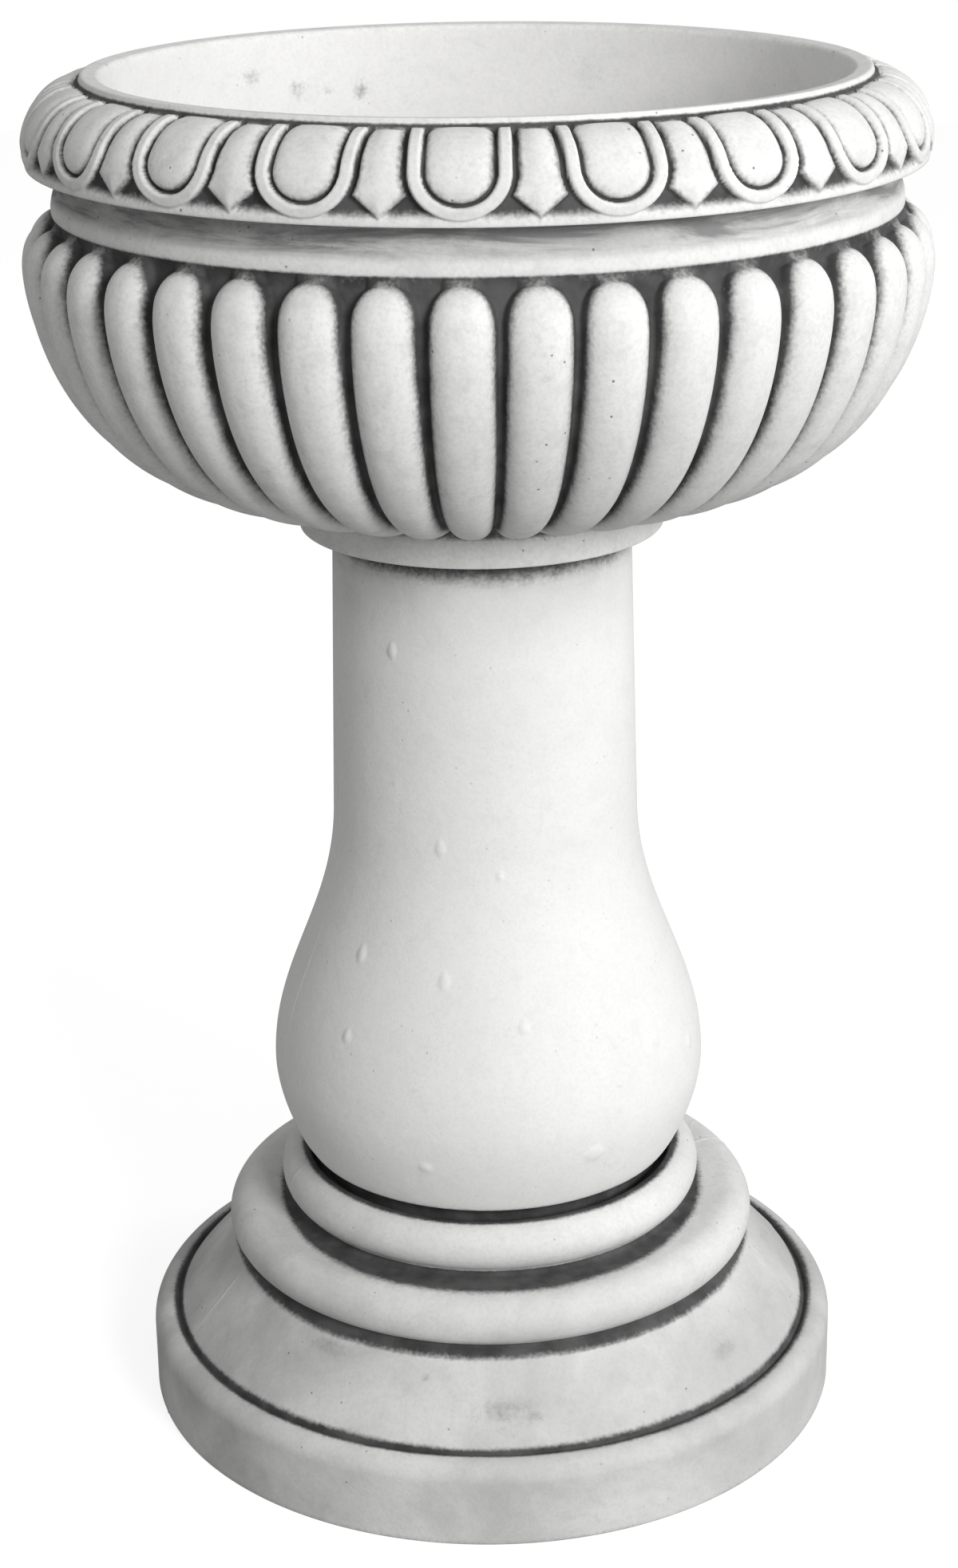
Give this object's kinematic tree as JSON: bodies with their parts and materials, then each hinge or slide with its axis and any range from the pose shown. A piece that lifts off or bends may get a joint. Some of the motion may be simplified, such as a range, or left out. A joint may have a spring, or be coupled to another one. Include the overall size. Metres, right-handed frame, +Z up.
{
  "type": "urn planter",
  "caption": "Round cast-stone urn planter: a fluted bowl with an egg-and-dart rim, dry-seated on a baluster shaft over a stepped round base, drained through the shaft.",
  "frame": {"origin": "centre of the base's underside, on the ground", "axes": "+Z up along the urn's axis; an egg of the rim band and a flute face -Y"},
  "size_m": [0.543, 0.543, 0.868],
  "materials": {
    "cast_stone": "matt off-white cast stone with a dark grey wash left in the carving",
    "mortar": "rough grey mortar",
    "dowel_steel": "plain bar",
    "pad_rubber": "black closed-cell sheet",
    "pipe_plastic": "grey drain pipe"
  },
  "bodies": {
    "pedestal": {"base": "cast_stone", "shaft_bedding_mortar": "mortar", "shaft": "cast_stone", "shaft_dowel_1": "dowel_steel", "shaft_dowel_2": "dowel_steel", "shaft_dowel_3": "dowel_steel", "bowl_seat_pad": "pad_rubber"},
    "bowl": {"bowl": "cast_stone", "drain_sleeve": "pipe_plastic"}
  },
  "joints": [
    {"name": "bowl_lift", "type": "slide", "parent": "pedestal", "child": "bowl", "axis": [0, 0, 1], "range_m": [0, 0.12]}
  ]
}
